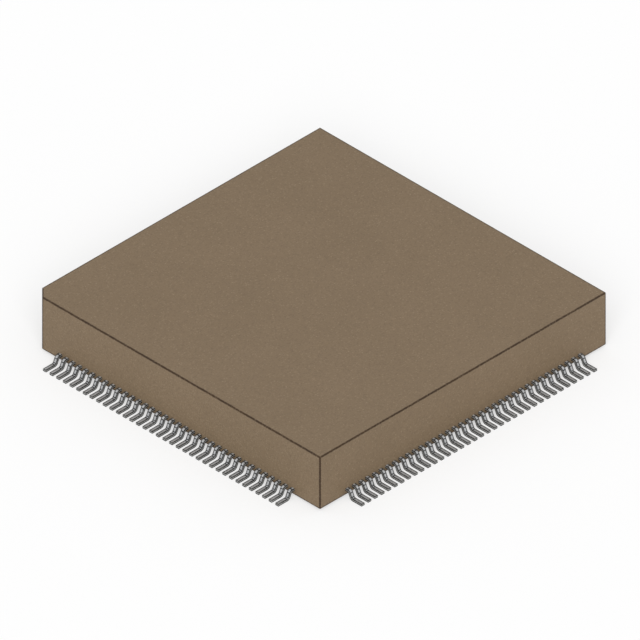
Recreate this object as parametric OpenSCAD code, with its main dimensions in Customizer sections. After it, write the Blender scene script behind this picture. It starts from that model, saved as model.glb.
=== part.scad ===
// Microprocessor in a moulded quad flat package, in millimetres.
// A square block of moulding compound holds a lead frame, a silicon die and its bond wires.
// The leads leave all four walls and are formed down and out to flat soldering feet.
// Inside, a ring of tape bonded across the long fingers keeps them in line.
// The origin is the centre of the seating plane under the feet, and +Z is up.
// The index corner is at -X, +Y: the count starts beside it in the west row and runs anticlockwise.

/* [Moulded body] */
// Side of the square body
body_side = 28; // [27:0.5:36]
// Height of the body from its underside to its top
body_height = 4.4; // [2.4:0.1:6]
// Gap between the seating plane and the underside of the body
standoff = 0.2; // [0.05:0.05:0.5]
// Leg of the clipped index corner
index_chamfer = 0.8; // [0.4:0.05:1]
// Leg of the small bevel that breaks every other edge of the body
edge_bevel = 0.05; // [0.02:0.01:0.2]
// Diameter of each ejector pin mark in the underside
ejector_d = 2; // [1:0.1:3]
// Depth of each ejector pin mark
ejector_depth = 0.05; // [0.02:0.01:0.1]
// Distance of each ejector pin mark from the nearest two walls
ejector_inset = 5; // [3:0.25:10]

/* [Leads outside the body] */
// Number of leads on each side
leads_per_side = 36; // [12:2:40]
// Distance between the centres of neighbouring leads
lead_pitch = 0.65; // [0.5:0.01:0.7]
// Width of each lead
lead_width = 0.3; // [0.2:0.01:0.38]
// Thickness of the lead frame sheet
lead_thickness = 0.17; // [0.1:0.01:0.22]
// Height of the leads' upper face above the underside of the body
lead_rise = 0.52; // [0.4:0.01:1]
// Distance from the wall to the tip of each foot
lead_reach = 1.6; // [1.4:0.05:2.4]
// Flat run of each lead from the wall to its first bend
shoulder = 0.2; // [0.1:0.05:0.5]
// Inner radius of both bends
bend_radius = 0.12; // [0.05:0.01:0.2]
// Slope of the lead between its bends, in degrees
bend_angle = 65; // [50:1:80]

/* [Lead fingers inside the body] */
// Straight run of each finger behind the wall
finger_root = 0.9; // [0.4:0.1:2]
// Straight run of each finger at its tip
finger_tip = 0.8; // [0.5:0.05:1.5]
// Width of each finger at its tip
finger_tip_width = 0.17; // [0.14:0.01:0.2]
// Gap between the die pad and the finger tips
finger_gap = 0.6; // [0.2:0.05:1.5]
// Distance along the row of tips from the tie bar's centre line to the first finger
finger_corner = 0.9; // [0.7:0.05:1.5]

/* [Lead lock tape] */
// Distance from the finger tips to the tape
tape_inset = 0.6; // [0.55:0.05:1]
// Width of the tape
tape_width = 1; // [0.6:0.1:1.5]
// Thickness of the tape
tape_thickness = 0.05; // [0.03:0.01:0.1]

/* [Die and die pad] */
// Side of the square die
die_side = 10.5; // [9:0.1:12]
// Thickness of the die
die_thickness = 0.4; // [0.2:0.05:0.6]
// Thickness of the bond between die and die pad
attach_thickness = 0.03; // [0.01:0.01:0.1]
// Width of the die pad's rim around the die
die_pad_rim = 0.6; // [0.2:0.1:1.5]
// Width of the four tie bars that hold the die pad
tie_bar_width = 0.4; // [0.2:0.05:0.6]
// Compound left between a tie bar's end and the clipped corner
tie_bar_cover = 0.8; // [0.3:0.1:2]

/* [Bond wires] */
// Diameter of the bond wire
wire_d = 0.03; // [0.02:0.001:0.04]
// Angle at each end between the wire and the straight line to its other end
wire_arch = 29; // [28:1:60]
// Diameter of the ball bonded to the die
ball_d = 0.09; // [0.08:0.01:0.12]
// Diameter of the stitch bonded to the finger
stitch_d = 0.11; // [0.1:0.01:0.14]
// Thickness of the ball and of the stitch
bond_thickness = 0.04; // [0.04:0.005:0.06]
// Distance from the die's edge to the line of balls
pad_inset = 0.15; // [0.1:0.01:0.3]
// Distance from the die's corner to the first ball, along the edge
pad_corner = 0.525; // [0.4:0.025:1.5]
// Distance from the tip of a finger to its stitch
stitch_inset = 0.3; // [0.15:0.05:0.4]

/* [Hidden] */

// Facets in each bend of a lead
bend_steps = 5;
// Facets round a wire, a bond or an ejector pin mark
round_steps = 32;
// Overshoot that lets a cutting shape leave the block cleanly
cut_over = 1;

// Turn about +Z that carries the south row to each side
SOUTH = 0;
EAST = 90;
NORTH = 180;
WEST = 270;
// Direction of the index corner, counted from +X
INDEX_CORNER = 135;

// Heights above the seating plane
body_top = standoff + body_height;
frame_top = standoff + lead_rise;
frame_low = frame_top - lead_thickness;
attach_top = frame_top + attach_thickness;
die_top = attach_top + die_thickness;

// Distances from the centre in plan
wall = body_side / 2;
die_pad_side = die_side + 2 * die_pad_rim;
tip_line = die_pad_side / 2 + finger_gap;
ball_line = die_side / 2 - pad_inset;
stitch_line = tip_line + stitch_inset;
tape_line = tip_line + tape_inset;
index_face = wall * sqrt(2) - index_chamfer / sqrt(2);
tie_bar_length = index_face - tie_bar_cover;
// Length that reaches well past every wall
far = 2 * body_side;

// Spacing of the finger tips and of the balls
finger_pitch = 2 * (tip_line - finger_corner) / (leads_per_side - 1);
pad_pitch = 2 * (die_side / 2 - pad_corner) / (leads_per_side - 1);

// Run and fall of a lead between its shoulder and its foot, along its middle surface
bend_middle = bend_radius + lead_thickness / 2;
bend_run = bend_middle * sin(bend_angle);
bend_fall = bend_middle * (1 - cos(bend_angle));
slope_fall = frame_low - 2 * bend_fall;
slope_run = slope_fall / tan(bend_angle);
heel = shoulder + 2 * bend_run + slope_run;

// Place of lead number i in a row, counted from the row's centre
function place(i) = i - (leads_per_side - 1) / 2;

// Points of an arc about a centre, from one angle to another
function arc(centre, r, from, to) =
    [for (k = [0 : bend_steps]) let (a = from + (to - from) * k / bend_steps) centre + r * [cos(a), sin(a)]];

// Side view of a formed lead: x runs out from the wall, y up from the seating plane
module lead_side_view() {
    outer = bend_radius + lead_thickness;
    upper = [shoulder, frame_low - bend_radius];
    lower = [heel, outer];
    polygon(concat(
        [[-finger_root, frame_top]],
        arc(upper, outer, 90, 90 - bend_angle),
        arc(lower, bend_radius, 270 - bend_angle, 270),
        [[lead_reach, lead_thickness], [lead_reach, 0]],
        arc(lower, outer, 270, 270 - bend_angle),
        arc(upper, bend_radius, 90 - bend_angle, 90),
        [[-finger_root, frame_low]]
    ));
}

// Plan of the finger behind lead i: it fans in from the wall to the row of tips
module finger_plan(i) {
    root = place(i) * lead_pitch;
    tip = place(i) * finger_pitch;
    polygon([
        [root - lead_width / 2, -wall],
        [root + lead_width / 2, -wall],
        [root + lead_width / 2, finger_root - wall],
        [tip + finger_tip_width / 2, -tip_line - finger_tip],
        [tip + finger_tip_width / 2, -tip_line],
        [tip - finger_tip_width / 2, -tip_line],
        [tip - finger_tip_width / 2, -tip_line - finger_tip],
        [root - lead_width / 2, finger_root - wall]
    ]);
}

// One whole lead of the south row
module lead(i) {
    translate([place(i) * lead_pitch, -wall, 0])
        rotate([90, 0, -90])
            linear_extrude(lead_width, center = true)
                lead_side_view();
    translate([0, 0, frame_low])
        linear_extrude(lead_thickness)
            finger_plan(i);
}

// The row of leads on the side that a turn about +Z reaches
module lead_row(turn) {
    rotate(turn)
        for (i = [0 : leads_per_side - 1])
            lead(i);
}

// Die pad with a tie bar towards each corner
module pad_and_tie_bars() {
    translate([0, 0, frame_low])
        linear_extrude(lead_thickness) {
            square(die_pad_side, center = true);
            for (turn = [45, 135])
                rotate(turn)
                    square([2 * tie_bar_length, tie_bar_width], center = true);
        }
}

// Square ring of tape on top of the fingers and tie bars
module tape_ring() {
    translate([0, 0, frame_top])
        linear_extrude(tape_thickness)
            difference() {
                square(2 * (tape_line + tape_width), center = true);
                square(2 * tape_line, center = true);
            }
}

module attach_layer() {
    translate([-die_side / 2, -die_side / 2, frame_top])
        cube([die_side, die_side, attach_thickness]);
}

module die_block() {
    translate([-die_side / 2, -die_side / 2, attach_top])
        cube([die_side, die_side, die_thickness]);
}

// One arched wire of the south row, from the ball on the die to the stitch on its finger
module bond_wire(i) {
    ball = [place(i) * pad_pitch, -ball_line, die_top];
    stitch = [place(i) * finger_pitch, -stitch_line, frame_top];
    seat = [0, 0, bond_thickness / 2];
    start = ball + seat;
    span = stitch - ball;
    run = norm([span.x, span.y]);
    chord = norm(span);
    bow = chord / (2 * sin(wire_arch));
    translate(ball)
        cylinder(d = ball_d, h = bond_thickness, $fn = round_steps);
    translate(stitch)
        cylinder(d = stitch_d, h = bond_thickness, $fn = round_steps);
    translate(start)
        rotate([0, 0, atan2(span.y, span.x)])
            rotate([0, atan2(-span.z, run), 0])
                translate([chord / 2, 0, -bow * cos(wire_arch)])
                    rotate([90, 0, 0])
                        rotate_extrude(angle = 2 * wire_arch, start = 90 - wire_arch, $fn = 4 * round_steps)
                            translate([bow, 0])
                                circle(d = wire_d, $fn = round_steps);
}

// The row of wires on the side that a turn about +Z reaches
module wire_row(turn) {
    rotate(turn)
        for (i = [0 : leads_per_side - 1])
            bond_wire(i);
}

// Square outline with a clipped index corner and the other corners broken
module body_plan() {
    polygon([
        [-wall + edge_bevel, -wall],
        [wall - edge_bevel, -wall],
        [wall, -wall + edge_bevel],
        [wall, wall - edge_bevel],
        [wall - edge_bevel, wall],
        [-wall + index_chamfer, wall],
        [-wall, wall - index_chamfer],
        [-wall, -wall + edge_bevel]
    ]);
}

// Upright section of a bar between two walls, with its upper and lower edges broken
module bevelled_section(left, right) {
    polygon([
        [left, standoff + edge_bevel],
        [left + edge_bevel, standoff],
        [right - edge_bevel, standoff],
        [right, standoff + edge_bevel],
        [right, body_top - edge_bevel],
        [right - edge_bevel, body_top],
        [left + edge_bevel, body_top],
        [left, body_top - edge_bevel]
    ]);
}

// A long bar of that section, with the section's width turned about +Z
module bevelled_bar(turn, left, right) {
    rotate([90, 0, turn])
        linear_extrude(2 * far, center = true)
            bevelled_section(left, right);
}

// The block before anything is set into it
module moulded_block() {
    intersection() {
        translate([0, 0, standoff])
            linear_extrude(body_height)
                body_plan();
        bevelled_bar(0, -wall, wall);
        bevelled_bar(90, -wall, wall);
        bevelled_bar(INDEX_CORNER, -far, index_face);
    }
}

module ejector_marks() {
    reach = wall - ejector_inset;
    for (x = [-reach, reach], y = [-reach, reach])
        translate([x, y, standoff - cut_over])
            cylinder(d = ejector_d, h = ejector_depth + cut_over, $fn = round_steps);
}

module package_body() {
    color("#82715D")
        difference() {
            moulded_block();
            ejector_marks();
            pad_and_tie_bars();
            tape_ring();
            attach_layer();
            die_block();
            for (turn = [SOUTH, EAST, NORTH, WEST]) {
                lead_row(turn);
                wire_row(turn);
            }
        }
}

module die_pad() {
    color("#B9B4A8")
        pad_and_tie_bars();
}

module die_attach() {
    color("#D8D8D2")
        attach_layer();
}

module silicon_die() {
    color("#5B6470")
        die_block();
}

module lead_lock_tape() {
    color("#B7792F")
        tape_ring();
}

module leads(turn) {
    color("#C9C9C9")
        lead_row(turn);
}

module bond_wires(turn) {
    color("#D9B45A")
        wire_row(turn);
}

package_body();
die_pad();
die_attach();
silicon_die();
lead_lock_tape();
leads(SOUTH);  // leads_south
leads(EAST);  // leads_east
leads(NORTH);  // leads_north
leads(WEST);  // leads_west
bond_wires(SOUTH);  // bond_wires_south
bond_wires(EAST);  // bond_wires_east
bond_wires(NORTH);  // bond_wires_north
bond_wires(WEST);  // bond_wires_west
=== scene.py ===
"""Looks of a microprocessor in a moulded quad flat package.

The moulded body is remodelled with rounded edges over its solid, and every other piece keeps its solid.
Each finish is drawn with shader nodes at its real scale. Lengths are in metres, in the part's own frame.
"""
import math

import bmesh
import bpy
from mathutils import Matrix, Vector


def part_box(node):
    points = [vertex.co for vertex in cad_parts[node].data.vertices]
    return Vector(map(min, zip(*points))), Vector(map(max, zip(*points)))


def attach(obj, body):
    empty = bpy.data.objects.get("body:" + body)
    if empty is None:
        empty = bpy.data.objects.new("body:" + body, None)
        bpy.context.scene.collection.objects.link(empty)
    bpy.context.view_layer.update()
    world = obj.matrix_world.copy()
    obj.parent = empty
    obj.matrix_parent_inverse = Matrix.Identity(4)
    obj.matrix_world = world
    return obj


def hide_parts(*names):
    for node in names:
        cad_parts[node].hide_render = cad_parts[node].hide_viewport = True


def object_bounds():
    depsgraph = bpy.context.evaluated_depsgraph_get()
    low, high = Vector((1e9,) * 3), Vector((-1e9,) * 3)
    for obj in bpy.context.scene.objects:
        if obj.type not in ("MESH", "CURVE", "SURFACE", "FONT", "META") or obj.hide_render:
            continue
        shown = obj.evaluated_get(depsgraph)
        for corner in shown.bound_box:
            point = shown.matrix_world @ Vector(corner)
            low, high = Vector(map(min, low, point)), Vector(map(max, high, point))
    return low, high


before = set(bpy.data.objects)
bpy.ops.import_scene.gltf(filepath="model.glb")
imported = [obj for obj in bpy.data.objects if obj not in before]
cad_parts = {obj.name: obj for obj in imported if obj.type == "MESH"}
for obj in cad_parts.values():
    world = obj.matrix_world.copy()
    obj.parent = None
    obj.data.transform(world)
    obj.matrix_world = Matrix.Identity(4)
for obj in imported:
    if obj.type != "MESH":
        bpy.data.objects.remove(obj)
cad_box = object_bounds()

MM = 0.001
SIDES = ("south", "east", "north", "west")

# The moulded body. Resin gathers in its edges, and over a band beside them
EDGE_RADIUS = 0.05 * MM
EDGE_SEGMENTS = 3
RESIN_BAND = 0.08 * MM
INDEX_CLIP = 0.8 * MM
EJECTOR_RADIUS = 1.0 * MM
EJECTOR_DEPTH = 0.05 * MM
EJECTOR_INSET = 5.0 * MM
EJECTOR_SEGMENTS = 48

# The leads, which are cut from the same sheet as the die pad.
# A bend is placed by its distance from the centre of the part
LEAD_PITCH = 0.65 * MM
LEAD_WIDTH = 0.3 * MM
SHOULDER = 0.2 * MM
BEND_RADIUS = 0.12 * MM
BEND_ANGLE = math.radians(65)
SHEET_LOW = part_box("die_pad")[0].z
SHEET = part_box("die_pad")[1].z - SHEET_LOW
MIDDLE_RADIUS = BEND_RADIUS + SHEET / 2
SLOPE_FALL = SHEET_LOW - 2 * MIDDLE_RADIUS * (1 - math.cos(BEND_ANGLE))
UPPER_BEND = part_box("package_body")[1].x + SHOULDER
LOWER_BEND = UPPER_BEND + 2 * MIDDLE_RADIUS * math.sin(BEND_ANGLE) + SLOPE_FALL / math.tan(BEND_ANGLE)

# The dark stretches on the leads, each over the width in which it fades out
TARNISH_WIDTH = 0.13 * MM
RIM_WIDTH = 0.055 * MM
TORN_WIDTH = 0.095 * MM
FORMING_MARK = 0.17 * MM
TARNISH_WANDER = 0.02 * MM

# The view: a true isometric one, level with the middle of the body
AZIMUTH = math.radians(-45)
ELEVATION = math.atan(1 / math.sqrt(2))
VIEW_WIDTH = 44.3 * MM
AIM = Vector((0, 0, 2.26 * MM))
CAMERA_DISTANCE = 200 * MM
CAMERA_CLIP = 1 * MM

# The light: most of it comes evenly from all round, and the rest from a wide lamp behind the camera
FLOOR_SIZE = 2000 * MM
FLOOR_GLOW = 0.5
SKY_STRENGTH = 0.62
LAMP_STRENGTH = 1.95
LAMP_WIDTH = math.radians(40)
LAMP_AZIMUTH = math.radians(-47)
LAMP_ELEVATION = math.radians(36)

# Sockets of the Mix node for colours
FACTOR, COLOUR_A, COLOUR_B, MIXED = 0, 6, 7, 2


def linear(code):
    """The linear colour of an sRGB hex code."""
    parts = [int(code[i:i + 2], 16) / 255 for i in (1, 3, 5)]
    return tuple(p / 12.92 if p <= 0.04045 else ((p + 0.055) / 1.055) ** 2.4 for p in parts) + (1.0,)


def per_metre(millimetres):
    """The texture scale at which one cell of a pattern measures this much."""
    return 1 / (millimetres * MM)


def towards(azimuth, elevation):
    """The direction from the part to a viewer or a lamp. Azimuth 0 stands in front, on the -Y side."""
    level = math.cos(elevation)
    return Vector((math.sin(azimuth) * level, -math.cos(azimuth) * level, math.sin(elevation)))


def add(tree, kind, sockets=(), **settings):
    """Adds a shader node. Its sockets are a dict of values, or of outputs to link."""
    made = tree.nodes.new("ShaderNode" + kind)
    for name, value in settings.items():
        setattr(made, name, value)
    for key, value in dict(sockets).items():
        if isinstance(value, bpy.types.NodeSocket):
            tree.links.new(value, made.inputs[key])
        else:
            made.inputs[key].default_value = value
    return made


def finish(name, draw):
    """A new material, with the surface that a drawing function makes in its node tree."""
    made = bpy.data.materials.new(name)
    made.use_nodes = True
    made.node_tree.nodes.clear()
    add(made.node_tree, "OutputMaterial", {"Surface": draw(made.node_tree)})
    return made


def seen_directly(tree):
    """1 where the camera, a reflection or a clear solid looks, and 0 for the light on other surfaces."""
    path = add(tree, "LightPath").outputs
    seen = add(tree, "Math", {0: path["Is Camera Ray"], 1: path["Is Glossy Ray"]}, operation="MAXIMUM")
    seen = add(tree, "Math", {0: seen.outputs["Value"], 1: path["Is Transmission Ray"]}, operation="MAXIMUM")
    return seen.outputs["Value"]


def moulding_compound(tree):
    """Epoxy filled with silica, from a spark-eroded mould: a dry, even brown with a fine sandy grain."""
    place = add(tree, "TexCoord").outputs["Object"]
    # Clouds of slightly richer resin, some millimetres across
    cloud = add(tree, "TexNoise", {"Vector": place, "Scale": per_metre(5.0), "Detail": 3.0, "Roughness": 0.6})
    even = add(tree, "Mix", {FACTOR: cloud.outputs["Fac"], COLOUR_A: linear("#75634C"),
                             COLOUR_B: linear("#7E6B54")}, data_type="RGBA")
    # Grains of silica are about 0.05 mm across, and are drawn at 0.15 mm so that they show. Some lie deeper
    grains = add(tree, "TexVoronoi", {"Vector": place, "Scale": per_metre(0.15)})
    depth = add(tree, "SeparateColor", {"Color": grains.outputs["Color"]})
    bared = add(tree, "MapRange", {"Value": depth.outputs["Red"], "From Min": 0.4, "To Max": 0.6})
    grain = add(tree, "MapRange", {"Value": grains.outputs["Distance"], "From Min": 0.5, "From Max": 0.1,
                                   "To Max": bared.outputs["Result"]})
    flecked = add(tree, "Mix", {FACTOR: grain.outputs["Result"], COLOUR_A: even.outputs[MIXED],
                                COLOUR_B: linear("#9A8870")}, data_type="RGBA")
    # The spark-eroded pits are about 0.03 mm, and are drawn at 0.12 mm. Painted shade darkens the colour
    # where the bump sinks into them
    pits = add(tree, "TexNoise", {"Vector": place, "Scale": per_metre(0.12), "Detail": 3.0})
    painted_pit_shade = add(tree, "MapRange", {"Value": pits.outputs["Fac"], "From Min": 0.5, "From Max": 0.3,
                                    "To Max": 0.5})
    with_painted_pit_shade = add(tree, "Mix", {FACTOR: painted_pit_shade.outputs["Result"], COLOUR_A: flecked.outputs[MIXED],
                               COLOUR_B: linear("#5F4F3B")}, data_type="RGBA")
    # Resin without grains gathers in the edges of the mould, and is rubbed paler in stretches of a millimetre
    rub = add(tree, "TexNoise", {"Vector": place, "Scale": per_metre(1.2), "Detail": 3.0})
    resin = add(tree, "Mix", {FACTOR: rub.outputs["Fac"], COLOUR_A: linear("#241300"),
                              COLOUR_B: linear("#3D280C")}, data_type="RGBA")
    # It runs out further through the pits, so its border is uneven
    gathered = add(tree, "Attribute", attribute_name="resin").outputs["Fac"]
    spread = add(tree, "MapRange", {"Value": pits.outputs["Fac"], "From Min": 0.35, "From Max": 0.65,
                                    "To Min": 1.8, "To Max": 0.7})
    edge = add(tree, "Math", {0: gathered, 1: spread.outputs["Result"]}, operation="MULTIPLY")
    colour = add(tree, "Mix", {FACTOR: edge.outputs["Value"], COLOUR_A: with_painted_pit_shade.outputs[MIXED],
                               COLOUR_B: resin.outputs[MIXED]}, data_type="RGBA")
    skin = add(tree, "Bump", {"Height": pits.outputs["Fac"], "Strength": 0.6, "Distance": 0.02 * MM})
    dull = add(tree, "MapRange", {"Value": pits.outputs["Fac"], "To Min": 0.52, "To Max": 0.68})
    shader = add(tree, "BsdfPrincipled", {"Base Color": colour.outputs[MIXED], "IOR": 1.52,
                                          "Specular IOR Level": 0.3, "Roughness": dull.outputs["Result"],
                                          "Normal": skin.outputs["Normal"]})
    return shader.outputs["BSDF"]


def forming_marks(tree, out):
    """1 in the middle of the forming tool's marks, at the ends of a lead's bends and at its tip."""
    upper_end = UPPER_BEND + (BEND_RADIUS + SHEET) * math.sin(BEND_ANGLE)
    lower_start = LOWER_BEND - BEND_RADIUS * math.sin(BEND_ANGLE)
    tip = cad_box[1].x
    # A mark is as wide on the slope as on the level, and so spans less of the way out
    level = FORMING_MARK / 2
    leaning = level * math.cos(BEND_ANGLE)
    lines = ((UPPER_BEND, level), (upper_end, leaning), (lower_start, leaning), (LOWER_BEND, level),
             (tip, level))
    nearest = 1.0
    for line, reach in lines:
        aside = add(tree, "Math", {0: out, 1: 1 / reach, 2: -line / reach}, operation="MULTIPLY_ADD")
        gap = add(tree, "Math", {0: aside.outputs["Value"]}, operation="ABSOLUTE")
        least = add(tree, "Math", {0: nearest, 1: gap.outputs["Value"]}, operation="MINIMUM")
        nearest = least.outputs["Value"]
    marks = add(tree, "MapRange", {"Value": nearest, "From Min": 1.0, "From Max": 0.0},
                interpolation_type="SMOOTHSTEP")
    return marks.outputs["Result"]


def stamped_rims(tree, out, height):
    """1 along the upper rim and the torn lower part of a lead's stamped sides, all along its bent shape."""
    # The distance above the middle of the shoulder, of the foot and of the slope, joined round the bends
    shoulder = add(tree, "Math", {0: height, 1: SHEET_LOW + SHEET / 2}, operation="SUBTRACT")
    foot = add(tree, "Math", {0: height, 1: SHEET / 2}, operation="SUBTRACT")
    # The slope leans by the bend angle, and touches the middle of the upper bend
    start = ((SHEET_LOW - BEND_RADIUS) * math.cos(BEND_ANGLE) + UPPER_BEND * math.sin(BEND_ANGLE)
             + MIDDLE_RADIUS)
    drop = add(tree, "Math", {0: height, 1: math.cos(BEND_ANGLE), 2: -start}, operation="MULTIPLY_ADD")
    slope = add(tree, "Math", {0: out, 1: math.sin(BEND_ANGLE), 2: drop.outputs["Value"]},
                operation="MULTIPLY_ADD")
    upper = add(tree, "Math", {0: shoulder.outputs["Value"], 1: slope.outputs["Value"], 2: MIDDLE_RADIUS},
                operation="SMOOTH_MAX")
    whole = add(tree, "Math", {0: upper.outputs["Value"], 1: foot.outputs["Value"], 2: MIDDLE_RADIUS},
                operation="SMOOTH_MIN")
    # Between the rim and the torn part, a cleanly cut band lies a little above the middle of the sheet
    band_middle = (TORN_WIDTH - RIM_WIDTH) / 2
    band = (SHEET - RIM_WIDTH - TORN_WIDTH) / 2
    aside = add(tree, "Math", {0: whole.outputs["Value"], 1: band_middle}, operation="SUBTRACT")
    gap = add(tree, "Math", {0: aside.outputs["Value"]}, operation="ABSOLUTE")
    rims = add(tree, "MapRange", {"Value": gap.outputs["Value"], "From Min": band,
                                  "From Max": band + RIM_WIDTH}, interpolation_type="SMOOTHSTEP")
    return rims.outputs["Result"]


def tin_plate(tree):
    """Matte tin over nickel-iron: soft grey metal, tarnished along edges and bends, with dull cut sides."""
    place = add(tree, "TexCoord").outputs["Object"]
    # Tin grains are about 0.01 mm, and are drawn at 0.08 mm so that they show
    grains = add(tree, "TexNoise", {"Vector": place, "Scale": per_metre(0.08), "Detail": 2.0})
    plate = add(tree, "Mix", {FACTOR: grains.outputs["Fac"], COLOUR_A: linear("#949596"),
                              COLOUR_B: linear("#DFE0E1")}, data_type="RGBA")
    # Stamping drags fine upright scores down the cut sides, drawn 0.05 mm apart so that they show
    drag = add(tree, "Mapping", {"Vector": place, "Scale": (1.0, 1.0, 0.1)})
    scores = add(tree, "TexNoise", {"Vector": drag.outputs["Vector"], "Scale": per_metre(0.05),
                                    "Detail": 1.0})
    bare = add(tree, "Mix", {FACTOR: scores.outputs["Fac"], COLOUR_A: linear("#7E7E7C"),
                             COLOUR_B: linear("#C9C9C7")}, data_type="RGBA")
    # Only the stamped faces stand upright, and all others are plated
    facing = add(tree, "SeparateXYZ", {"Vector": add(tree, "NewGeometry").outputs["True Normal"]})
    lean = add(tree, "Math", {0: facing.outputs["Z"]}, operation="ABSOLUTE")
    plated = add(tree, "MapRange", {"Value": lean.outputs["Value"], "From Min": 0.2, "From Max": 0.3})
    metal = add(tree, "Mix", {FACTOR: plated.outputs["Result"], COLOUR_A: bare.outputs[MIXED],
                              COLOUR_B: plate.outputs[MIXED]}, data_type="RGBA")
    # The borders of the tarnish wander over about 0.2 mm
    wander = add(tree, "TexNoise", {"Vector": place, "Scale": per_metre(0.2), "Detail": 1.0}, normalize=False)
    near = add(tree, "VectorMath", {0: wander.outputs["Color"], 1: (TARNISH_WANDER,) * 3, 2: place},
               operation="MULTIPLY_ADD")
    # All four rows are alike, so a place on a lead is how far out it is, how far along the row and how high
    size = add(tree, "VectorMath", {0: near.outputs["Vector"]}, operation="ABSOLUTE")
    axes = add(tree, "SeparateXYZ", {"Vector": size.outputs["Vector"]}).outputs
    out = add(tree, "Math", {0: axes["X"], 1: axes["Y"]}, operation="MAXIMUM").outputs["Value"]
    row = add(tree, "Math", {0: axes["X"], 1: axes["Y"]}, operation="MINIMUM").outputs["Value"]
    # Tarnish gathers along the edges that the punch rolled over, and in the forming tool's marks
    across = add(tree, "Math", {0: row, 1: LEAD_PITCH / 2}, operation="PINGPONG").outputs["Value"]
    edge = (LEAD_PITCH - LEAD_WIDTH) / 2
    rolled = add(tree, "MapRange", {"Value": across, "From Min": edge + TARNISH_WIDTH, "From Max": edge},
                 interpolation_type="SMOOTHSTEP")
    worked = add(tree, "Math", {0: rolled.outputs["Result"], 1: forming_marks(tree, out)},
                 operation="MAXIMUM")
    stain = add(tree, "Mix", {"Factor": plated.outputs["Result"], "A": stamped_rims(tree, out, axes["Z"]),
                              "B": worked.outputs["Value"]})
    colour = add(tree, "Mix", {FACTOR: stain.outputs["Result"], COLOUR_A: metal.outputs[MIXED],
                               COLOUR_B: linear("#0E0D0C")}, data_type="RGBA")
    dull = add(tree, "MapRange", {"Value": grains.outputs["Fac"], "To Min": 0.6, "To Max": 0.8})
    skin = add(tree, "Bump", {"Height": grains.outputs["Fac"], "Strength": 0.2, "Distance": 0.004 * MM})
    shader = add(tree, "BsdfPrincipled", {"Base Color": colour.outputs[MIXED], "Metallic": 1.0,
                                          "Roughness": dull.outputs["Result"],
                                          "Normal": skin.outputs["Normal"]})
    return shader.outputs["BSDF"]


def bare_nickel_iron(tree):
    """Rolled nickel-iron sheet: warm grey metal, with rolling lines all one way."""
    place = add(tree, "TexCoord").outputs["Object"]
    # Rolling lines are 0.1 mm apart and run along X
    rolled = add(tree, "Mapping", {"Vector": place, "Scale": (0.04, 1.0, 1.0)})
    lines = add(tree, "TexNoise", {"Vector": rolled.outputs["Vector"], "Scale": per_metre(0.1),
                                   "Detail": 2.0})
    colour = add(tree, "Mix", {FACTOR: lines.outputs["Fac"], COLOUR_A: linear("#A7A297"),
                               COLOUR_B: linear("#C4BFB3")}, data_type="RGBA")
    dull = add(tree, "MapRange", {"Value": lines.outputs["Fac"], "To Min": 0.28, "To Max": 0.42})
    shader = add(tree, "BsdfPrincipled", {"Base Color": colour.outputs[MIXED], "Metallic": 1.0,
                                          "Roughness": dull.outputs["Result"]})
    return shader.outputs["BSDF"]


def silver_epoxy(tree):
    """Die-attach epoxy full of silver flakes: a pale grey paste with bright specks."""
    place = add(tree, "TexCoord").outputs["Object"]
    # Flakes are about 0.02 mm, and are drawn at 0.06 mm so that they show
    flakes = add(tree, "TexVoronoi", {"Vector": place, "Scale": per_metre(0.06)})
    bright = add(tree, "MapRange", {"Value": flakes.outputs["Distance"], "From Min": 0.5, "From Max": 0.2})
    colour = add(tree, "Mix", {FACTOR: bright.outputs["Result"], COLOUR_A: linear("#B4B4AE"),
                               COLOUR_B: linear("#E2E2DE")}, data_type="RGBA")
    shader = add(tree, "BsdfPrincipled", {"Base Color": colour.outputs[MIXED], "Roughness": 0.45,
                                          "Metallic": bright.outputs["Result"]})
    return shader.outputs["BSDF"]


def patterned_silicon(tree):
    """A finished die: glassy blue-grey blocks of circuits, each of its own tint, ruled with fine metal."""
    place = add(tree, "TexCoord").outputs["Object"]
    # Blocks of the floor plan are about 1.8 mm wide
    blocks = add(tree, "TexVoronoi", {"Vector": place, "Scale": per_metre(1.8), "Randomness": 0.8},
                 distance="CHEBYCHEV", voronoi_dimensions="2D")
    tint = add(tree, "SeparateColor", {"Color": blocks.outputs["Color"]})
    ground = add(tree, "Mix", {FACTOR: tint.outputs["Red"], COLOUR_A: linear("#3C4756"),
                               COLOUR_B: linear("#6A6478")}, data_type="RGBA")
    # Rows of cells are far finer than can be seen, and are drawn 0.06 mm apart
    rows = add(tree, "TexBrick", {"Vector": place, "Scale": per_metre(0.5), "Mortar Size": 0.03,
                                  "Brick Width": 0.5, "Row Height": 0.12, "Color1": ground.outputs[MIXED],
                                  "Color2": linear("#4D5A66"), "Mortar": linear("#C9CBC6")})
    shader = add(tree, "BsdfPrincipled", {"Base Color": rows.outputs["Color"], "IOR": 2.0, "Roughness": 0.12,
                                          "Metallic": rows.outputs["Fac"]})
    return shader.outputs["BSDF"]


def polyimide(tree):
    """Polyimide tape: amber film over its adhesive, cloudy where the bond is thicker."""
    place = add(tree, "TexCoord").outputs["Object"]
    # The adhesive clouds over about 0.8 mm
    bond = add(tree, "TexNoise", {"Vector": place, "Scale": per_metre(0.8), "Detail": 3.0})
    colour = add(tree, "Mix", {FACTOR: bond.outputs["Fac"], COLOUR_A: linear("#A4661F"),
                               COLOUR_B: linear("#C98B3C")}, data_type="RGBA")
    dull = add(tree, "MapRange", {"Value": bond.outputs["Fac"], "To Min": 0.2, "To Max": 0.38})
    shader = add(tree, "BsdfPrincipled", {"Base Color": colour.outputs[MIXED], "IOR": 1.7,
                                          "Roughness": dull.outputs["Result"]})
    return shader.outputs["BSDF"]


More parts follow.
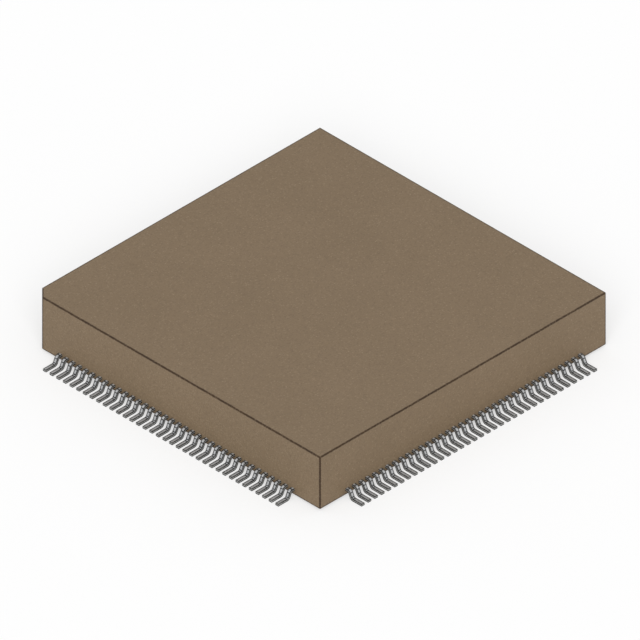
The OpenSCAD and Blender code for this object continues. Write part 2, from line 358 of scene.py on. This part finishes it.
def drawn_gold(tree):
    """Drawn gold wire: bright yellow metal with faint die lines."""
    place = add(tree, "TexCoord").outputs["Object"]
    # Die lines are far finer than can be seen, and are drawn 0.02 mm apart
    marks = add(tree, "TexNoise", {"Vector": place, "Scale": per_metre(0.02), "Detail": 1.0})
    colour = add(tree, "Mix", {FACTOR: marks.outputs["Fac"], COLOUR_A: linear("#E0B04E"),
                               COLOUR_B: linear("#F6CE74")}, data_type="RGBA")
    dull = add(tree, "MapRange", {"Value": marks.outputs["Fac"], "To Min": 0.14, "To Max": 0.26})
    shader = add(tree, "BsdfPrincipled", {"Base Color": colour.outputs[MIXED], "Metallic": 1.0,
                                          "Roughness": dull.outputs["Result"]})
    return shader.outputs["BSDF"]


def studio_floor(tree):
    """A pale matt floor that looks white to the camera and in reflections, and still takes a shadow."""
    matt = add(tree, "BsdfDiffuse", {"Color": linear("#E7E7E7")})
    white = add(tree, "BsdfDiffuse", {"Color": linear("#FFFFFF")})
    glow = add(tree, "Emission", {"Color": linear("#FFFFFF")})
    lifted = add(tree, "MixShader", {"Fac": FLOOR_GLOW, 1: white.outputs["BSDF"],
                                     2: glow.outputs["Emission"]})
    both = add(tree, "MixShader", {"Fac": seen_directly(tree), 1: matt.outputs["BSDF"],
                                   2: lifted.outputs["Shader"]})
    return both.outputs["Shader"]


def piece(name, bm, material):
    """Makes an object of a finished bmesh, with its place in its mesh."""
    mesh = bpy.data.meshes.new(name)
    bm.to_mesh(mesh)
    bm.free()
    mesh.materials.append(material)
    made = bpy.data.objects.new(name, mesh)
    bpy.context.scene.collection.objects.link(made)
    return made


def clipped_block(low, high):
    """A block between two corners, with the index corner at -X, +Y cut off."""
    bm = bmesh.new()
    shape = Matrix.Translation((low + high) / 2) @ Matrix.Diagonal((*(high - low), 1.0))
    bmesh.ops.create_cube(bm, size=1.0, matrix=shape)
    cut = bmesh.ops.bisect_plane(bm, geom=bm.verts[:] + bm.edges[:] + bm.faces[:], clear_outer=True,
                                 plane_co=(low.x + INDEX_CLIP, high.y, 0), plane_no=(-1, 1, 0))
    rim = [part for part in cut["geom_cut"] if isinstance(part, bmesh.types.BMEdge)]
    bmesh.ops.edgeloop_fill(bm, edges=rim)
    bmesh.ops.recalc_face_normals(bm, faces=bm.faces)
    return bm


def round_edges(bm):
    """Rounds every edge, and marks the rounding as rich in resin, which fades out over a band beside it."""
    resin = bm.verts.layers.float.new("resin")
    rounded = bmesh.ops.bevel(bm, geom=bm.edges[:], offset=EDGE_RADIUS, segments=EDGE_SEGMENTS, profile=0.5,
                              affect="EDGES", material=-1)
    for face in rounded["faces"]:
        face.smooth = True
    for vert in rounded["verts"]:
        vert[resin] = 1.0
    flats = [face for face in bm.faces if not face.smooth]
    bmesh.ops.inset_individual(bm, faces=flats, thickness=RESIN_BAND, use_even_offset=True)
    for face in flats:
        for vert in face.verts:
            vert[resin] = 0.0


def sink_ejector_marks(bm, low, high):
    """Fills the underside again round the four shallow marks that the ejector pins leave."""
    bm.normal_update()
    under = max(bm.faces, key=lambda face: -face.normal.z * face.calc_area())
    rim = list(under.edges)
    bmesh.ops.delete(bm, geom=[under], context="FACES_ONLY")
    marks = []
    for x in (low.x + EJECTOR_INSET, high.x - EJECTOR_INSET):
        for y in (low.y + EJECTOR_INSET, high.y - EJECTOR_INSET):
            ring = bmesh.ops.create_circle(bm, segments=EJECTOR_SEGMENTS, radius=EJECTOR_RADIUS,
                                           matrix=Matrix.Translation((x, y, low.z)))
            marks.append(list({edge for vert in ring["verts"] for edge in vert.link_edges}))
    bmesh.ops.triangle_fill(bm, use_beauty=True, edges=rim + sum(marks, []), normal=(0, 0, -1))
    for mark in marks:
        sunk = bmesh.ops.extrude_edge_only(bm, edges=mark)["geom"]
        floor_verts = [part for part in sunk if isinstance(part, bmesh.types.BMVert)]
        floor_edges = [part for part in sunk if isinstance(part, bmesh.types.BMEdge)
                       and all(vert in floor_verts for vert in part.verts)]
        bmesh.ops.translate(bm, verts=floor_verts, vec=(0, 0, EJECTOR_DEPTH))
        bmesh.ops.edgeloop_fill(bm, edges=floor_edges)
    bmesh.ops.recalc_face_normals(bm, faces=bm.faces)


def build_body():
    """The outside of the moulded body, in place of its solid."""
    low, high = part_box("package_body")
    bm = clipped_block(low, high)
    round_edges(bm)
    sink_ejector_marks(bm, low, high)
    body = piece("moulded_body", bm, finish("silica_filled_epoxy", moulding_compound))
    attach(body, "root")
    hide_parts("package_body")


def dress_solids():
    """Gives every solid that stays in view its finish."""
    finishes = {
        "die_pad": finish("rolled_nickel_iron", bare_nickel_iron),
        "die_attach": finish("silver_filled_epoxy", silver_epoxy),
        "silicon_die": finish("passivated_silicon", patterned_silicon),
        "lead_lock_tape": finish("polyimide_film", polyimide),
    }
    plate = finish("tin_plated_nickel_iron", tin_plate)
    gold = finish("drawn_gold", drawn_gold)
    for side in SIDES:
        finishes["leads_" + side] = plate
        finishes["bond_wires_" + side] = gold
    for name, made in finishes.items():
        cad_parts[name].material_slots[0].material = made


def build_floor():
    """A wide level floor under the feet."""
    bm = bmesh.new()
    bmesh.ops.create_grid(bm, x_segments=1, y_segments=1, size=FLOOR_SIZE / 2)
    piece("floor", bm, finish("white_studio_floor", studio_floor))


def build_light():
    """An even white sky, which the camera and reflections see as plain white, and one wide soft lamp."""
    world = bpy.data.worlds.new("studio")
    world.use_nodes = True
    tree = world.node_tree
    tree.nodes.clear()
    strength = add(tree, "MapRange", {"Value": seen_directly(tree), "To Min": SKY_STRENGTH, "To Max": 1.0})
    sky = add(tree, "Background", {"Color": linear("#FFFFFF"), "Strength": strength.outputs["Result"]})
    add(tree, "OutputWorld", {"Surface": sky.outputs["Background"]})
    bpy.context.scene.world = world
    lamp = bpy.data.lights.new("wide_lamp", "SUN")
    lamp.energy = LAMP_STRENGTH
    lamp.angle = LAMP_WIDTH
    holder = bpy.data.objects.new("wide_lamp", lamp)
    holder.rotation_euler = towards(LAMP_AZIMUTH, LAMP_ELEVATION).to_track_quat("Z", "Y").to_euler()
    bpy.context.scene.collection.objects.link(holder)


def build_camera():
    """A parallel view from the photograph's angle."""
    lens = bpy.data.cameras.new("isometric")
    lens.type = "ORTHO"
    lens.ortho_scale = VIEW_WIDTH
    lens.clip_start = CAMERA_CLIP
    holder = bpy.data.objects.new("isometric", lens)
    away = towards(AZIMUTH, ELEVATION)
    holder.location = AIM + away * CAMERA_DISTANCE
    holder.rotation_euler = away.to_track_quat("Z", "Y").to_euler()
    bpy.context.scene.collection.objects.link(holder)
    bpy.context.scene.camera = holder


build_body()
dress_solids()
build_floor()
build_light()
build_camera()
bpy.context.scene.view_settings.view_transform = "Standard"
